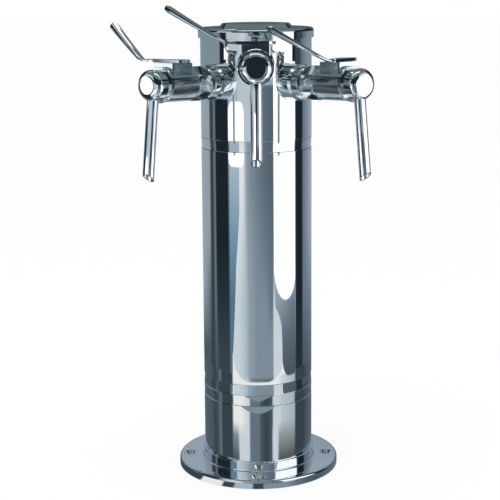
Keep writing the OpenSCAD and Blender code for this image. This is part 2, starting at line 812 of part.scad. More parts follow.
// A plate inside the column's foot that holds the inlet tubes in line
module tube_guide() {
    color(dull_steel) translate([0, 0, guide_z]) difference() {
        cylinder(r = core_in_r - fit_gap, h = guide_t);
        translate([-column_d, -core_in_r * guide_depth_share / 2, -over])
            cube([column_d * 2, column_d, guide_t + over * 2]);
        for (i = [0 : len(TAPS) - 1]) at_line(i) translate([0, 0, -over])
            cylinder(d = line_d + fit_gap * 2, h = guide_t + over * 2);
    }
}

base_flange();
base_gasket();
inner_tube();
lower_sleeve();
lower_trim_ring();
upper_trim_ring();
middle_sleeve();
top_trim_ring();
upper_sleeve();
cap();
cap_grip_ring();
lock_collars();
saddle_washers();
shank_nuts();
coupling_seals();
valve_seats();
stem_bushes();
tube_guide();
for (i = [0 : len(TAPS) - 1]) {
    escutcheon(i);
    shank(i);
    coupling_nut(i);
    tap_body(i);
    face_ring(i);
    nozzle(i);
    spout(i);
    elbow(i);
    inlet_tube(i);
    lever(i);
    lever_screw(i);
    stem(i);
    valve_ball(i);
}
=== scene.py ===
"""Looks of the column drink tower: polished metal, a plain studio and the photograph's camera."""
import json
import math

import bmesh
import bpy
from mathutils import Matrix, Vector

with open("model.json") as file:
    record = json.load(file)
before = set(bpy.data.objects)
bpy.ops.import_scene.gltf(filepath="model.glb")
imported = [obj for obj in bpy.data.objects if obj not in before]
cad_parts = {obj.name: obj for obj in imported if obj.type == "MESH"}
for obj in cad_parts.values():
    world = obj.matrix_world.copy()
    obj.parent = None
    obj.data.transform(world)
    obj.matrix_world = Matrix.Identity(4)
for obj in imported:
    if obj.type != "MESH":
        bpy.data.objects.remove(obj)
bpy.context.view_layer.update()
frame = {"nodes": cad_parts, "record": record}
nodes = frame["nodes"]

# The photograph's frame in pixels, and the camera in metres and degrees. It stands where the
# photograph was taken from and is tilted down, so that the lens needs only a little shift.
IMAGE_PX = 500
FOCAL_PX = 1319.9
CENTRE_PX = (250.0, 200.0)
CAMERA_AT = (0.0, -1.2103, 0.4583)
CAMERA_DOWN = 9.611
CAMERA_TURN = 0.301
CAMERA_ROLL = -0.407
SENSOR_MM = 36.0

# Polished metal: how dense and fine its noise is, and how far colour and gloss follow it
SMEAR_SCALE = 18.0
SMEAR_DETAIL = 4.0
STREAK_SCALE = 60.0
STREAK_DETAIL = 3.0
STREAK_SHADE = 0.965
STREAK_TINT_RANGE = (0.25, 0.75)
GLOSS_RANGE = (0.15, 0.45)
WAVE_SCALE = 9.0
WAVE_DETAIL = 1.0
WAVE_STRENGTH = 1.0
# How the streaks are drawn out, along x, y and z, and how deep the waves are, in metres
UPRIGHT_STREAKS = (1, 1, 0.05)
LEVEL_STREAKS = (1, 1, 4)
EVEN_STREAKS = (1, 1, 1)
TUBE_WAVE = 0.00002
FITTING_WAVE = 0.00001
# Plain finishes
PLAIN_DETAIL = 5.0
PLAIN_TINT_RANGE = (0.3, 0.7)
PLAIN_GLOSS_SHARES = (0.85, 1.15)
PLAIN_BUMP_STRENGTH = 0.15
PLAIN_BUMP_DEPTH = 0.00005

# The places of the colour sockets on a mix node
MIX_FIRST = 6
MIX_SECOND = 7
MIX_RESULT = 2


def new_material(name):
    material = bpy.data.materials.new(name)
    material.use_nodes = True
    material.node_tree.nodes.clear()
    return material, material.node_tree


def node_of(tree, kind, **settings):
    node = tree.nodes.new(kind)
    for key, value in settings.items():
        setattr(node, key, value)
    return node


def math_node(tree, operation, *values):
    """One sum on sockets or plain numbers. It gives the socket of its result."""
    node = node_of(tree, "ShaderNodeMath", operation=operation)
    for socket, value in zip(node.inputs, values):
        if isinstance(value, bpy.types.NodeSocket):
            tree.links.new(value, socket)
        else:
            socket.default_value = value
    return node.outputs["Value"]


def noise_node(tree, vector, scale, detail):
    noise = node_of(tree, "ShaderNodeTexNoise")
    noise.inputs["Scale"].default_value = scale
    noise.inputs["Detail"].default_value = detail
    tree.links.new(vector, noise.inputs["Vector"])
    return noise.outputs["Fac"]


def ramp(tree, factor, stops):
    """Colours that blend from stop to stop as the factor grows."""
    node = node_of(tree, "ShaderNodeValToRGB")
    elements = node.color_ramp.elements
    while len(elements) < len(stops):
        elements.new(0.5)
    for element, (place, colour) in zip(elements, stops):
        element.position = place
        element.color = (*colour, 1.0)
    tree.links.new(factor, node.inputs["Fac"])
    return node.outputs["Color"]


def surface(tree, socket):
    out = node_of(tree, "ShaderNodeOutputMaterial")
    tree.links.new(socket, out.inputs["Surface"])


def surface_shader(tree, metallic):
    shader = node_of(tree, "ShaderNodeBsdfPrincipled")
    shader.inputs["Metallic"].default_value = metallic
    surface(tree, shader.outputs["BSDF"])
    return shader


def add_bump(tree, shader, height, strength, depth):
    bump = node_of(tree, "ShaderNodeBump")
    bump.inputs["Strength"].default_value = strength
    bump.inputs["Distance"].default_value = depth
    tree.links.new(height, bump.inputs["Height"])
    tree.links.new(bump.outputs["Normal"], shader.inputs["Normal"])


def polished(name, colour, roughness, smear, streaks, waviness):
    """Polished metal: fine polishing streaks, faint smears and a slow waviness of the surface."""
    material, tree = new_material(name)
    shader = surface_shader(tree, 1.0)
    place = node_of(tree, "ShaderNodeTexCoord").outputs["Object"]
    # smears left by wiping: slightly duller patches
    patches = noise_node(tree, place, SMEAR_SCALE, SMEAR_DETAIL)
    # streaks of the polishing wheel
    stretch = node_of(tree, "ShaderNodeMapping")
    stretch.inputs["Scale"].default_value = streaks
    tree.links.new(place, stretch.inputs["Vector"])
    lines = noise_node(tree, stretch.outputs["Vector"], STREAK_SCALE, STREAK_DETAIL)
    rough = node_of(tree, "ShaderNodeMapRange")
    rough.inputs["From Min"].default_value = GLOSS_RANGE[0]
    rough.inputs["From Max"].default_value = GLOSS_RANGE[1]
    rough.inputs["To Min"].default_value = roughness
    rough.inputs["To Max"].default_value = roughness + smear
    tree.links.new(math_node(tree, "MULTIPLY", patches, lines), rough.inputs["Value"])
    tree.links.new(rough.outputs["Result"], shader.inputs["Roughness"])
    shaded = [channel * STREAK_SHADE for channel in colour]
    tint = ramp(tree, lines, list(zip(STREAK_TINT_RANGE, (shaded, colour))))
    tree.links.new(tint, shader.inputs["Base Color"])
    # slow waviness of a rolled and polished surface
    wave = noise_node(tree, place, WAVE_SCALE, WAVE_DETAIL)
    add_bump(tree, shader, wave, WAVE_STRENGTH, waviness)
    return material


def plain_finish(name, low, high, metallic, roughness, scale):
    """A duller finish whose colour and gloss vary a little from place to place."""
    material, tree = new_material(name)
    shader = surface_shader(tree, metallic)
    place = node_of(tree, "ShaderNodeTexCoord").outputs["Object"]
    noise = noise_node(tree, place, scale, PLAIN_DETAIL)
    tint = ramp(tree, noise, list(zip(PLAIN_TINT_RANGE, (low, high))))
    tree.links.new(tint, shader.inputs["Base Color"])
    rough = node_of(tree, "ShaderNodeMapRange")
    rough.inputs["To Min"].default_value = roughness * PLAIN_GLOSS_SHARES[0]
    rough.inputs["To Max"].default_value = roughness * PLAIN_GLOSS_SHARES[1]
    tree.links.new(noise, rough.inputs["Value"])
    tree.links.new(rough.outputs["Result"], shader.inputs["Roughness"])
    add_bump(tree, shader, noise, PLAIN_BUMP_STRENGTH, PLAIN_BUMP_DEPTH)
    return material


POLISHED_LOOKS = {
    "shell_chrome": dict(
        colour=(0.78, 0.8, 0.82), roughness=0.02, smear=0.03,
        streaks=UPRIGHT_STREAKS, waviness=TUBE_WAVE),
    "trim_chrome": dict(
        colour=(0.78, 0.8, 0.82), roughness=0.02, smear=0.03,
        streaks=LEVEL_STREAKS, waviness=TUBE_WAVE),
    "tap_chrome": dict(
        colour=(0.8, 0.82, 0.84), roughness=0.06, smear=0.05,
        streaks=EVEN_STREAKS, waviness=FITTING_WAVE),
    "lever_chrome": dict(
        colour=(0.79, 0.81, 0.83), roughness=0.05, smear=0.06,
        streaks=EVEN_STREAKS, waviness=FITTING_WAVE),
    # the tap bodies are chrome too, with a satin surface that blurs what it mirrors
    "tap_chrome_satin": dict(
        colour=(0.69, 0.75, 0.78), roughness=0.15, smear=0.03,
        streaks=EVEN_STREAKS, waviness=FITTING_WAVE),
    # and the fittings between the bodies and the column are a little soft, and their colour is a
    # little darker than the other chrome: painted shade for the darker place between the parts
    "tap_chrome_soft_painted_shade": dict(
        colour=(0.72, 0.76, 0.78), roughness=0.075, smear=0.03,
        streaks=EVEN_STREAKS, waviness=FITTING_WAVE),
}
PLAIN_LOOKS = {
    "inner_steel": dict(
        low=(0.42, 0.44, 0.46), high=(0.55, 0.57, 0.59), metallic=1.0, roughness=0.32, scale=90.0),
    "plain_brass": dict(
        low=(0.62, 0.45, 0.2), high=(0.74, 0.57, 0.28), metallic=1.0, roughness=0.3, scale=120.0),
    "black_rubber": dict(
        low=(0.02, 0.02, 0.022), high=(0.035, 0.035, 0.038), metallic=0.0, roughness=0.75,
        scale=300.0),
    "white_seat": dict(
        low=(0.84, 0.84, 0.8), high=(0.9, 0.9, 0.87), metallic=0.0, roughness=0.45, scale=200.0),
}
SATIN_ENDS = ("_tap_body",)
# Pieces that take the soft chrome, whose darker colour is painted shade
SOFT_ENDS = ("_escutcheon", "_coupling_nut", "lock_collars")

finishes = {name: polished(name, **look) for name, look in POLISHED_LOOKS.items()}
finishes.update({name: plain_finish(name, **look) for name, look in PLAIN_LOOKS.items()})
for entry in frame["record"]["subparts"]:
    finish = entry["material_slot"]
    if entry["node"].endswith(SATIN_ENDS):
        finish = "tap_chrome_satin"
    elif entry["node"].endswith(SOFT_ENDS):
        finish = "tap_chrome_soft_painted_shade"
    node = nodes[entry["node"]]
    node.data.materials.clear()
    node.data.materials.append(finishes[finish])


# The studio: a room and cards that only reflections see, and a white floor. Azimuths are in
# degrees, 0 towards the camera and positive to the right; everything else is in metres.
COLUMN_R = 0.0508
ROOM_R = 0.37
ROOM_H = 0.62
ALL_ROUND = (-180, 180)
WALL_STEPS = 144
FLOOR_CARD_Z = 0.0004

# Shades of the room, a little brighter than they look in the metal
INK = (0.014, 0.022, 0.03)
NIGHT = (0.024, 0.037, 0.047)
DARK = (0.048, 0.068, 0.083)
SLATE = (0.081, 0.116, 0.143)
MID_SLATE = (0.115, 0.155, 0.19)
STRIPE = (0.19, 0.215, 0.215)
BROWN = (0.1, 0.115, 0.115)
WARM_GREY = (0.37, 0.4, 0.41)
DEEP_BLUE = (0.115, 0.215, 0.3)
MID_BLUE = (0.2, 0.36, 0.48)
STEEL_BLUE = (0.152, 0.206, 0.261)
GREY = (0.256, 0.328, 0.381)
EDGE = (0.36, 0.43, 0.5)
LIGHT_BLUE = (0.45, 0.57, 0.66)
MIST = (0.6, 0.68, 0.73)
PALE = (0.74, 0.8, 0.83)
LINEN = (0.92, 0.95, 0.97)
CREAM = (1.02, 1.03, 0.97)
WHITE = (1.5, 1.5, 1.5)
CEILING = (0.15, 0.21, 0.215)
LAMP_GREEN = (0.5, 0.62, 0.58)

# The wall by azimuth, from the foot upwards
WALL_FOOT = [
    (-180, SLATE), (-116, SLATE), (-106, DARK), (-98, DARK), (-95, SLATE), (-88, SLATE),
    (-84, DARK), (-58, DARK), (-55, DEEP_BLUE), (-35, DEEP_BLUE), (83, SLATE), (84, NIGHT),
    (102, NIGHT), (106, SLATE), (180, STEEL_BLUE),
]
WALL_LOW = [
    (-180, EDGE), (-154, EDGE), (-126, GREY), (-112, STEEL_BLUE), (-106, DARK), (-97, DARK),
    (-94, STRIPE), (-91, STRIPE), (-88, NIGHT), (-58, NIGHT), (-55, DEEP_BLUE), (-35, DEEP_BLUE),
    (82, EDGE), (83.5, INK), (103, INK), (106, STEEL_BLUE), (180, GREY),
]
WALL_MIDDLE = [
    (-180, EDGE), (-111, EDGE), (-105, DARK), (-97, DARK), (-94, STRIPE), (-91, STRIPE),
    (-88, INK), (-58, INK), (-54, MID_BLUE), (-35, MID_BLUE), (82, EDGE), (83.5, INK),
    (103, INK), (106, STEEL_BLUE), (140, EDGE), (180, EDGE),
]
WALL_UPPER = [
    (-180, EDGE), (-110, EDGE), (-105, DARK), (-97, DARK), (-94, STRIPE), (-91, STRIPE),
    (-88, INK), (-58, INK), (-54, LIGHT_BLUE), (-35, LIGHT_BLUE), (82, EDGE), (83.5, INK),
    (103, INK), (106, STEEL_BLUE), (140, EDGE), (180, EDGE),
]
WALL_TOP = [
    (-180, GREY), (-76, GREY), (-74, INK), (-57.5, INK), (-55, MIST), (-35, MIST), (-24, PALE),
    (-14, LIGHT_BLUE), (10, GREY), (28, STEEL_BLUE), (31, PALE), (49, PALE), (73, EDGE),
    (75, DARK), (95, DARK), (104, STEEL_BLUE), (122, GREY), (180, GREY),
]
WALL_ABOVE = [(-180, SLATE), (-150, SLATE), (-140, INK), (140, INK), (150, SLATE), (180, SLATE)]
WALL_LEVELS = [
    (0.02, WALL_FOOT), (0.09, WALL_LOW), (0.16, WALL_MIDDLE), (0.24, WALL_UPPER),
    (0.345, WALL_UPPER), (0.36, WALL_TOP), (0.397, WALL_TOP), (0.402, WALL_ABOVE),
]

# The panel that stands towards the camera, from its foot upwards
PANEL_SHADOW = [
    (-51, PALE), (-20, PALE), (-14, STEEL_BLUE), (0, SLATE), (30, SLATE), (32, PALE), (51, PALE),
]
PANEL_FOOT = [
    (-51, PALE), (-38, PALE), (-27, MIST), (-20, LIGHT_BLUE), (-17, EDGE), (0, GREY), (30, GREY),
    (32, PALE), (51, PALE),
]
PANEL_LOW = [
    (-48, PALE), (-38, PALE), (-27, MIST), (-20, LIGHT_BLUE), (-16, EDGE), (0, GREY), (16, GREY),
    (28, STEEL_BLUE), (30, STEEL_BLUE), (32, PALE), (51, PALE),
]
PANEL_MIDDLE = [
    (-44, LINEN), (-30, PALE), (-24, MIST), (-17, EDGE), (-4, GREY), (24, STEEL_BLUE),
    (51, MID_SLATE),
]
PANEL_TOP = [
    (-38, LINEN), (-26, LINEN), (-20, EDGE), (-12, GREY), (8, STEEL_BLUE), (26, MID_SLATE),
    (51, MID_SLATE),
]
PANEL_LEVELS = [
    (0.001, PANEL_SHADOW), (0.006, PANEL_FOOT), (0.05, PANEL_FOOT), (0.092, PANEL_LOW),
    (0.15, PANEL_MIDDLE), (0.23, PANEL_TOP),
]

# The blue card at the panel's right, from its foot upwards
BLUE_CARD_LEVELS = [
    (0.01, [(35, SLATE), (80, SLATE)]), (0.05, [(35, STEEL_BLUE), (80, MID_SLATE)]),
    (0.09, [(35, EDGE), (80, STEEL_BLUE)]), (0.11, [(35, EDGE), (80, EDGE)]),
]

# The floor by azimuth, from the flange outwards
FLOOR_RIM = [
    (-180, SLATE), (-90, DARK), (-66, DARK), (-63, CREAM), (-39, CREAM), (-37, DARK), (-26, DARK),
    (-24, LIGHT_BLUE), (-7, LIGHT_BLUE), (-5, DARK), (4, DARK), (6, GREY), (30, GREY),
    (40, STEEL_BLUE), (60, SLATE), (120, STEEL_BLUE), (180, STEEL_BLUE),
]
FLOOR_EDGE = [
    (-180, MID_SLATE), (-112, SLATE), (-98, DARK), (-88, SLATE), (-82, STRIPE), (-78, DARK),
    (-54, DARK), (-50, SLATE), (-39, SLATE), (-37, PALE), (-18, PALE), (-15, STEEL_BLUE),
    (2, STEEL_BLUE), (5, SLATE), (16, DARK), (27, SLATE), (30, PALE), (39, PALE), (42, BROWN),
    (79, BROWN), (83, DARK), (108, DARK), (126, SLATE), (180, STEEL_BLUE),
]
FLOOR_CLOSE = [
    (-180, MID_SLATE), (-112, SLATE), (-98, DARK), (-88, SLATE), (-82, STRIPE), (-78, DARK),
    (-54, DARK), (-50, GREY), (-42, GREY), (-37, PALE), (-18, PALE), (-15, STEEL_BLUE),
    (2, STEEL_BLUE), (5, SLATE), (16, DARK), (27, SLATE), (30, PALE), (39, PALE), (43, WARM_GREY),
    (79, WARM_GREY), (83, DARK), (108, DARK), (126, SLATE), (180, STEEL_BLUE),
]
FLOOR_NEAR = [
    (-180, MID_SLATE), (-112, SLATE), (-98, DARK), (-88, SLATE), (-82, STRIPE), (-78, DARK),
    (-53, DARK), (-50, CREAM), (-34, CREAM), (-18, PALE), (-15, STEEL_BLUE), (2, STEEL_BLUE),
    (5, SLATE), (16, DARK), (28, SLATE), (31, PALE), (42, PALE), (50, MIST), (79, LIGHT_BLUE),
    (83, DARK), (108, DARK), (126, SLATE), (180, STEEL_BLUE),
]
FLOOR_FAR = [
    (-180, MID_SLATE), (-112, SLATE), (-98, DARK), (-88, SLATE), (-82, STRIPE), (-78, DARK),
    (-53, DARK), (-50, CREAM), (40, CREAM), (50, PALE), (66, MIST), (79, LIGHT_BLUE), (83, DARK),
    (108, DARK), (126, SLATE), (180, STEEL_BLUE),
]
FLOOR_LEVELS = [
    (0.09, FLOOR_RIM), (0.096, FLOOR_EDGE), (0.165, FLOOR_CLOSE), (0.205, FLOOR_NEAR),
    (0.262, FLOOR_NEAR), (0.27, FLOOR_FAR),
]

# Cards before the wall. An edge is given as its height, how far it curves at its ends, and the
# shares of its length over which it curves at the left and at the right.
WINDOW_R = 0.342
WINDOW_SPAN = (32.5, 81)
WINDOW_TOP = (0.43, -0.02, 0.3, 0.3)
# The window's foot: its lowest place, and how far and how high it rises to the left and right
WINDOW_FOOT_Z = 0.095
WINDOW_FOOT_AT = 58.5
WINDOW_FOOT_LEFT = (26.5, 0.044)
WINDOW_FOOT_RIGHT = (23, 0.03)
FRAME_R = 0.338
FRAME_SPAN = (74, 82)
FRAME_FOOT = 0.365
FRAME_TOP = 0.45
LEFT_WINDOW_SPAN = (-56, -24)
LEFT_WINDOW_FOOT = (0.249, 0.008, 0.25, 0.25)
LEFT_WINDOW_TOP = (0.322, -0.012, 0.3, 0.3)
FLANK_R = 0.344
FLANK_SPAN = (-36, -9)
FLANK_FOOT = 0.276
FLANK_TOP = 0.35
STRIP_R = 0.338
STRIP_SPAN = (-9, 8)
STRIP_FOOT = 0.3
STRIP_TOP = 0.355
CAMERA_SIDE_R = 0.336
CAMERA_SIDE_SPAN = (-9, 9)
CAMERA_SIDE_FOOT = (0.35, 0.016, 0.5, 0.5)
CAMERA_SIDE_TOP = (0.4, -0.012, 0.5, 0.5)
SIDE_LIGHT_R = 0.346
SIDE_LIGHT_SPAN = (44, 78)
SIDE_LIGHT_FOOT = 0.43
SIDE_LIGHT_TOP = 0.56
# The panel's slanted sides are given as pairs of height and azimuth
PANEL_R = 0.345
PANEL_LEFT_SIDE = [
    (0.03, -50), (0.05, -48), (0.114, -42.6), (0.136, -41.5), (0.169, -37), (0.2, -34),
    (0.34, -34),
]
PANEL_RIGHT_SIDE = [(0.13, 50), (0.14, 35)]
PANEL_FOOT_LEFT = (0.0, 0.03, 0.35, 0.0)
PANEL_FOOT_RIGHT = (0.0, 0.02, 0.0, 0.35)
PANEL_HEAD = 0.34
BLUE_CARD_R = 0.343
BLUE_CARD_LEFT_SIDE = [(0.04, 50), (0.067, 48), (0.08, 42), (0.088, 35)]
BLUE_CARD_END = 80
BLUE_CARD_FOOT = (0.004, 0.022, 0.5, 0.0)
BLUE_CARD_TOP = 0.13
CREAM_CARD_R = 0.366
CREAM_CARD_SPAN = (-51, 80)
CREAM_CARD_TOP = 0.026
# The crescent on the floor: its inner radius grows away from the middle
CRESCENT_SPAN = (-42, 42)
CRESCENT_INNER_R = 0.235
CRESCENT_INNER_GROWTH = 0.03
CRESCENT_GROWN_AT = 40
CRESCENT_OUTER_R = 0.3
CRESCENT_Z = 0.0006

# Cards under the ceiling: places and sizes
CARD_CORNER_SHARE = 0.3
ROUND_CORNER_SHARE = 1.0
UNDER_CEILING_Z = ROOM_H - 0.002
DOWNWARD = (0, 0, -1)
SOFTBOX_AT = (0.03, -0.135)
SOFTBOX_SIZE = (0.3, 0.06)
REAR_SOFTBOX_AT = (-0.08, 0.1)
REAR_SOFTBOX_SIZE = (0.04, 0.1)
CEILING_LAMPS = (("a", (-0.13, -0.3), 0.06), ("b", (0.1, -0.27), 0.06), ("c", (-0.2, -0.02), 0.08))

# Small cards near the taps. The left tap points this way, and its nozzle's flat front mirrors one
# card while its housing mirrors the other.
TAP_AZIMUTH = 38.5
TAP_RISE = 0.035
NOZZLE_HALF = 0.0085
NEAR_CARD_OUT = 0.09
NEAR_CARD_SIZE = (0.017, 0.02)
HOUSING_BACK = 0.0083
HOUSING_UP = 0.017
HOUSING_CARD_SIZE = (0.03, 0.012)
# The card beside the middle spout: its two edges from the spout's middle, its foot and its top
SPOUT_CARD_EDGES = ((-0.006, -0.034, 0.0), (-0.016, -0.02, 0.0))
SPOUT_CARD_FOOT = 0.277
SPOUT_CARD_TOP = 0.352

# The white floor, and the lamp above it
FLOOR_R = 14.0
FLOOR_SEGMENTS = 96
FLOOR_COLOUR = (0.88, 0.88, 0.88, 1.0)
FLOOR_WHITE_SHARE = 0.85
WORLD_COLOUR = (1.0, 1.0, 1.0, 1.0)
WORLD_STRENGTH = 1.0
TOP_LAMP_AT = (-0.3, -0.5, 1.6)
TOP_LAMP_AIM = (0, 0, 0.3)
TOP_LAMP_SIZE = (0.9, 0.9)
TOP_LAMP_POWER = 6.0


def emissive(name, colour):
    material, tree = new_material(name)
    glow = node_of(tree, "ShaderNodeEmission")
    glow.inputs["Color"].default_value = (*colour, 1.0)
    surface(tree, glow.outputs["Emission"])
    return material


def room_material(name, levels, on_floor=False):
    """Bands of shade by azimuth, blended between levels of height, or of distance on the floor."""
    material, tree = new_material(name)
    place = node_of(tree, "ShaderNodeTexCoord").outputs["Object"]
    split = node_of(tree, "ShaderNodeSeparateXYZ")
    tree.links.new(place, split.inputs["Vector"])
    towards_camera = math_node(tree, "MULTIPLY", split.outputs["Y"], -1.0)
    angle = math_node(tree, "ARCTAN2", split.outputs["X"], towards_camera)
    across = split.outputs["Z"]
    if on_floor:
        # close to the column the bands lie nearer to the middle, so that it mirrors them upright
        distance = node_of(tree, "ShaderNodeVectorMath", operation="LENGTH")
        tree.links.new(place, distance.inputs[0])
        across = distance.outputs["Value"]
        near_share = math_node(tree, "DIVIDE", COLUMN_R, across)
        swing_here = math_node(tree, "SUBTRACT", 2.0, near_share)
        swing_at_wall = 2.0 - COLUMN_R / ROOM_R
        spread = math_node(tree, "DIVIDE", swing_at_wall, swing_here)
        angle = math_node(tree, "MULTIPLY", angle, spread)
    turn = math_node(tree, "MULTIPLY_ADD", angle, 1.0 / math.tau, 0.5)
    shade = None
    last_at = None
    for at, stops in levels:
        bands = ramp(tree, turn, [(azimuth / 360 + 0.5, tone) for azimuth, tone in stops])
        if shade is None:
            shade = bands
        else:
            blend = node_of(tree, "ShaderNodeMapRange")
            blend.inputs["From Min"].default_value = last_at
            blend.inputs["From Max"].default_value = at
            tree.links.new(across, blend.inputs["Value"])
            mix = node_of(tree, "ShaderNodeMix", data_type="RGBA")
            tree.links.new(blend.outputs["Result"], mix.inputs["Factor"])
            tree.links.new(shade, mix.inputs[MIX_FIRST])
            tree.links.new(bands, mix.inputs[MIX_SECOND])
            shade = mix.outputs[MIX_RESULT]
        last_at = at
    glow = node_of(tree, "ShaderNodeEmission")
    tree.links.new(shade, glow.inputs["Color"])
    surface(tree, glow.outputs["Emission"])
    return material


def add_mesh(name, bm, smooth=True):
    mesh = bpy.data.meshes.new(name)
    bm.to_mesh(mesh)
    bm.free()
    mesh.polygons.foreach_set("use_smooth", [smooth] * len(mesh.polygons))
    obj = bpy.data.objects.new(name, mesh)
    bpy.context.scene.collection.objects.link(obj)
    return obj


def only_reflected(obj, material):
    """A studio card: it shows in the metal, and the camera and the lamps look past it."""
    obj.data.materials.append(material)
    obj.visible_camera = False
    obj.visible_diffuse = False
    obj.visible_shadow = False


def around(radius, azimuth):
    """A place round the object at an azimuth."""
    angle = math.radians(azimuth)
    return radius * math.sin(angle), -radius * math.cos(angle)


def steady(value):
    """A function that gives the same value everywhere."""
    return lambda at: value


def rounded_edge(height, rise, left, right):
    """An edge that curves by rise at its ends, over the shares left and right of its length."""
    def edge(share):
        into = 0.0
        if left > 0 and share < left:
            into = 1 - share / left
        if right > 0 and share > 1 - right:
            into = 1 - (1 - share) / right
        return height + rise * (1 - math.sqrt(1 - into * into))
    return edge


def between(points):
    """A function that runs straight between the given pairs of place and value."""
    def value(at):
        for (a, start), (b, end) in zip(points, points[1:]):
            if at <= b:
                return start + (end - start) * max(at - a, 0.0) / (b - a)
        return points[-1][1]
    return value


def window_foot(share):
    """The window's lower edge: a shallow arch that hangs lowest near the middle."""
    start, end = WINDOW_SPAN
    off = start + (end - start) * share - WINDOW_FOOT_AT
    reach, rise = WINDOW_FOOT_LEFT if off < 0 else WINDOW_FOOT_RIGHT
    return WINDOW_FOOT_Z + rise * (1 - math.sqrt(1 - (off / reach) ** 2))


def panel_foot(share):
    """The panel's lower edge, whose two corners are rounded by different amounts."""
    return rounded_edge(*PANEL_FOOT_LEFT)(share) + rounded_edge(*PANEL_FOOT_RIGHT)(share)


def crescent_inner(azimuth):
    return CRESCENT_INNER_R + CRESCENT_INNER_GROWTH * (azimuth / CRESCENT_GROWN_AT) ** 2


def upright_card(name, material, radius, span, low, high, steps=36):
    """A curved upright card. Its lower and upper edges are functions of the share along it."""
    bm = bmesh.new()
    start, end = span
    last = None
    for i in range(steps + 1):
        share = i / steps
        x, y = around(radius, start + (end - start) * share)
        pair = (bm.verts.new((x, y, low(share))), bm.verts.new((x, y, high(share))))
        if last:
            bm.faces.new((last[0], pair[0], pair[1], last[1]))
        last = pair
    only_reflected(add_mesh(name, bm), material)


def panel_card(name, material, radius, left, right, low, high, columns=48, rows=24):
    """A curved upright card whose sides may slant: left and right give azimuths by height."""
    bm = bmesh.new()
    grid = []
    for j in range(rows + 1):
        line = []
        for i in range(columns + 1):
            share = i / columns
            z = low(share) + (high(share) - low(share)) * j / rows
            azimuth = left(z) + (right(z) - left(z)) * share
            line.append(bm.verts.new((*around(radius, azimuth), z)))
        grid.append(line)
    for below, above in zip(grid, grid[1:]):
        for i in range(columns):
            bm.faces.new((below[i], below[i + 1], above[i + 1], above[i]))
    only_reflected(add_mesh(name, bm), material)


def flat_band(name, material, span, inner, outer, height, steps=72):
    """A level card that lies or hangs round the axis; inner and outer give its radii by azimuth."""
    bm = bmesh.new()
    start, end = span
    last = None
    for i in range(steps + 1):
        azimuth = start + (end - start) * i / steps
        pair = [bm.verts.new((*around(r(azimuth), azimuth), height)) for r in (inner, outer)]
        if last:
            bm.faces.new((last[0], pair[0], pair[1], last[1]))
        last = pair
    only_reflected(add_mesh(name, bm, smooth=False), material)


def flat_card(name, material, centre, size, toward=DOWNWARD, corner=CARD_CORNER_SHARE, steps=8):
    """A flat rectangular card with round corners, turned towards a direction."""
    bm = bmesh.new()
    half_w, half_h = size[0] / 2, size[1] / 2
    r = min(half_w, half_h) * corner
    turn = Vector(toward).to_track_quat("Z", "Y").to_matrix()
    points = []
    for quarter in range(4):
        cx = (half_w - r) * (1 if quarter in (0, 3) else -1)
        cy = (half_h - r) * (1 if quarter in (0, 1) else -1)
        for k in range(steps + 1):
            a = math.radians(90 * (quarter + k / steps))
            on_card = Vector((cx + r * math.cos(a), cy + r * math.sin(a), 0))
            points.append(turn @ on_card + Vector(centre))
    bm.faces.new([bm.verts.new(p) for p in points])
    only_reflected(add_mesh(name, bm, smooth=False), material)


def middle_of(node):
    """The middle of a piece's box."""
    corners = [node.matrix_world @ Vector(corner) for corner in node.bound_box]
    return sum(corners, Vector()) / len(corners)


# The room
upright_card("studio_wall", room_material("wall", WALL_LEVELS), ROOM_R, ALL_ROUND,
             steady(0.0), steady(ROOM_H), steps=WALL_STEPS)
flat_band("studio_floor_near", room_material("floor_near", FLOOR_LEVELS, on_floor=True),
          ALL_ROUND, steady(0.0), steady(ROOM_R), FLOOR_CARD_Z)
flat_band("studio_ceiling", emissive("ceiling", CEILING), ALL_ROUND,
          steady(0.0), steady(ROOM_R), ROOM_H)

white = emissive("softbox", WHITE)
cream = emissive("cream_card", CREAM)
dark = emissive("dark_card", INK)
side_light = emissive("side_light", MIST)
lamp_green = emissive("ceiling_lamp", LAMP_GREEN)

# The cards before the wall and on the floor
upright_card("studio_window", white, WINDOW_R, WINDOW_SPAN, window_foot, rounded_edge(*WINDOW_TOP))
upright_card("studio_window_frame", dark, FRAME_R, FRAME_SPAN,
             steady(FRAME_FOOT), steady(FRAME_TOP))
upright_card("studio_left_window", white, WINDOW_R, LEFT_WINDOW_SPAN,
             rounded_edge(*LEFT_WINDOW_FOOT), rounded_edge(*LEFT_WINDOW_TOP))
upright_card("studio_left_flank", emissive("mist_card", MIST), FLANK_R, FLANK_SPAN,
             steady(FLANK_FOOT), steady(FLANK_TOP))
upright_card("studio_camera_strip", dark, STRIP_R, STRIP_SPAN,
             steady(STRIP_FOOT), steady(STRIP_TOP))
upright_card("studio_camera_side", dark, CAMERA_SIDE_R, CAMERA_SIDE_SPAN,
             rounded_edge(*CAMERA_SIDE_FOOT), rounded_edge(*CAMERA_SIDE_TOP))
for side_name, side in (("left", -1), ("right", 1)):
    upright_card(f"studio_side_light_{side_name}", side_light, SIDE_LIGHT_R,
                 [side * azimuth for azimuth in SIDE_LIGHT_SPAN],
                 steady(SIDE_LIGHT_FOOT), steady(SIDE_LIGHT_TOP))
panel_card("studio_panel", room_material("panel", PANEL_LEVELS), PANEL_R,
           between(PANEL_LEFT_SIDE), between(PANEL_RIGHT_SIDE), panel_foot, steady(PANEL_HEAD))
panel_card("studio_blue_right", room_material("blue_right", BLUE_CARD_LEVELS), BLUE_CARD_R,
           between(BLUE_CARD_LEFT_SIDE), steady(BLUE_CARD_END),
           rounded_edge(*BLUE_CARD_FOOT), steady(BLUE_CARD_TOP))
upright_card("studio_cream", cream, CREAM_CARD_R, CREAM_CARD_SPAN,
             steady(0.0), steady(CREAM_CARD_TOP))
flat_band("studio_crescent", emissive("crescent", GREY), CRESCENT_SPAN,
          crescent_inner, steady(CRESCENT_OUTER_R), CRESCENT_Z)

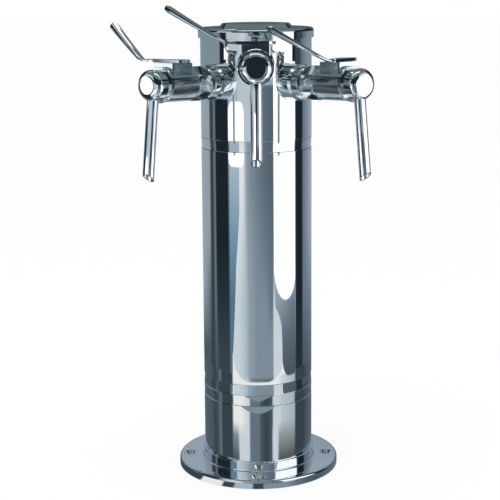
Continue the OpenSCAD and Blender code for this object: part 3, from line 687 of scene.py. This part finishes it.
# The cards under the ceiling
flat_card("studio_softbox", white, (*SOFTBOX_AT, UNDER_CEILING_Z), SOFTBOX_SIZE)
flat_card("studio_rear_softbox", white, (*REAR_SOFTBOX_AT, UNDER_CEILING_Z), REAR_SOFTBOX_SIZE)
for letter, lamp_at, width in CEILING_LAMPS:
    flat_card(f"studio_lamp_{letter}", lamp_green, (*lamp_at, UNDER_CEILING_Z), (width, width),
              corner=ROUND_CORNER_SHARE)

# The small cards beside the left tap, where its nozzle and housing mirror them to the camera
nozzle_mid = middle_of(nodes["left_nozzle"])
tap_way = Vector((*around(1.0, -TAP_AZIMUTH), TAP_RISE)).normalized()
view_way = (nozzle_mid - Vector(CAMERA_AT)).normalized()
mirrored_way = view_way - 2 * view_way.dot(tap_way) * tap_way
card_out = NEAR_CARD_OUT * mirrored_way
flat_card("studio_near_left", white, nozzle_mid + NOZZLE_HALF * tap_way + card_out,
          NEAR_CARD_SIZE, -mirrored_way, corner=ROUND_CORNER_SHARE)
housing_mid = nozzle_mid - HOUSING_BACK * tap_way + Vector((0, 0, HOUSING_UP))
flat_card("studio_near_left_housing", white, housing_mid + card_out,
          HOUSING_CARD_SIZE, -mirrored_way)

# A narrow upright card close beside the middle spout, hidden from the column by the spout itself
spout_mid = middle_of(nodes["centre_spout"])
near_edge, far_edge = [spout_mid + Vector(offset) for offset in SPOUT_CARD_EDGES]
spout_card_corners = (
    (near_edge, SPOUT_CARD_FOOT), (far_edge, SPOUT_CARD_FOOT),
    (far_edge, SPOUT_CARD_TOP), (near_edge, SPOUT_CARD_TOP),
)
spout_card = bmesh.new()
spout_card.faces.new([spout_card.verts.new((edge.x, edge.y, z)) for edge, z in spout_card_corners])
only_reflected(add_mesh("studio_near_spout", spout_card, smooth=False), white)

# The floor: it takes the shadow, and rays from the camera and from the metal see it nearly white
floor_bm = bmesh.new()
bmesh.ops.create_circle(floor_bm, cap_ends=True, segments=FLOOR_SEGMENTS, radius=FLOOR_R)
floor = add_mesh("studio_floor", floor_bm, smooth=False)
floor_material, floor_tree = new_material("studio_floor")
soft = node_of(floor_tree, "ShaderNodeBsdfDiffuse")
soft.inputs["Color"].default_value = FLOOR_COLOUR
plain_white = node_of(floor_tree, "ShaderNodeEmission")
rays = node_of(floor_tree, "ShaderNodeLightPath").outputs
bounced = math_node(floor_tree, "MAXIMUM", rays["Is Glossy Ray"], rays["Is Transmission Ray"])
seen = math_node(floor_tree, "MAXIMUM", rays["Is Camera Ray"], bounced)
white_share = math_node(floor_tree, "MULTIPLY", seen, FLOOR_WHITE_SHARE)
floor_mix = node_of(floor_tree, "ShaderNodeMixShader")
floor_tree.links.new(white_share, floor_mix.inputs["Fac"])
floor_tree.links.new(soft.outputs["BSDF"], floor_mix.inputs[1])
floor_tree.links.new(plain_white.outputs["Emission"], floor_mix.inputs[2])
surface(floor_tree, floor_mix.outputs["Shader"])
floor.data.materials.append(floor_material)

# The light
world = bpy.data.worlds.new("studio")
bpy.context.scene.world = world
world.use_nodes = True
background = world.node_tree.nodes["Background"]
background.inputs["Color"].default_value = WORLD_COLOUR
background.inputs["Strength"].default_value = WORLD_STRENGTH

lamp_data = bpy.data.lights.new("top_lamp", "AREA")
lamp_data.shape = "RECTANGLE"
lamp_data.size, lamp_data.size_y = TOP_LAMP_SIZE
lamp_data.energy = TOP_LAMP_POWER
top_lamp = bpy.data.objects.new("top_lamp", lamp_data)
top_lamp.location = TOP_LAMP_AT
lamp_way = Vector(TOP_LAMP_AIM) - Vector(TOP_LAMP_AT)
top_lamp.rotation_euler = lamp_way.to_track_quat("-Z", "Y").to_euler()
top_lamp.visible_glossy = False
bpy.context.scene.collection.objects.link(top_lamp)

# The camera
camera_data = bpy.data.cameras.new("camera")
camera_data.sensor_width = SENSOR_MM
camera_data.lens = FOCAL_PX / IMAGE_PX * SENSOR_MM
camera_data.shift_x = (IMAGE_PX / 2 - CENTRE_PX[0]) / IMAGE_PX
camera_data.shift_y = (CENTRE_PX[1] - IMAGE_PX / 2) / IMAGE_PX
camera = bpy.data.objects.new("camera", camera_data)
camera.matrix_world = (
    Matrix.Translation(CAMERA_AT)
    @ Matrix.Rotation(math.radians(CAMERA_TURN), 4, "Z")
    @ Matrix.Rotation(math.radians(90 - CAMERA_DOWN), 4, "X")
    @ Matrix.Rotation(math.radians(CAMERA_ROLL), 4, "Z")
)
bpy.context.scene.collection.objects.link(camera)
bpy.context.scene.camera = camera
bpy.context.scene.view_settings.view_transform = "Standard"
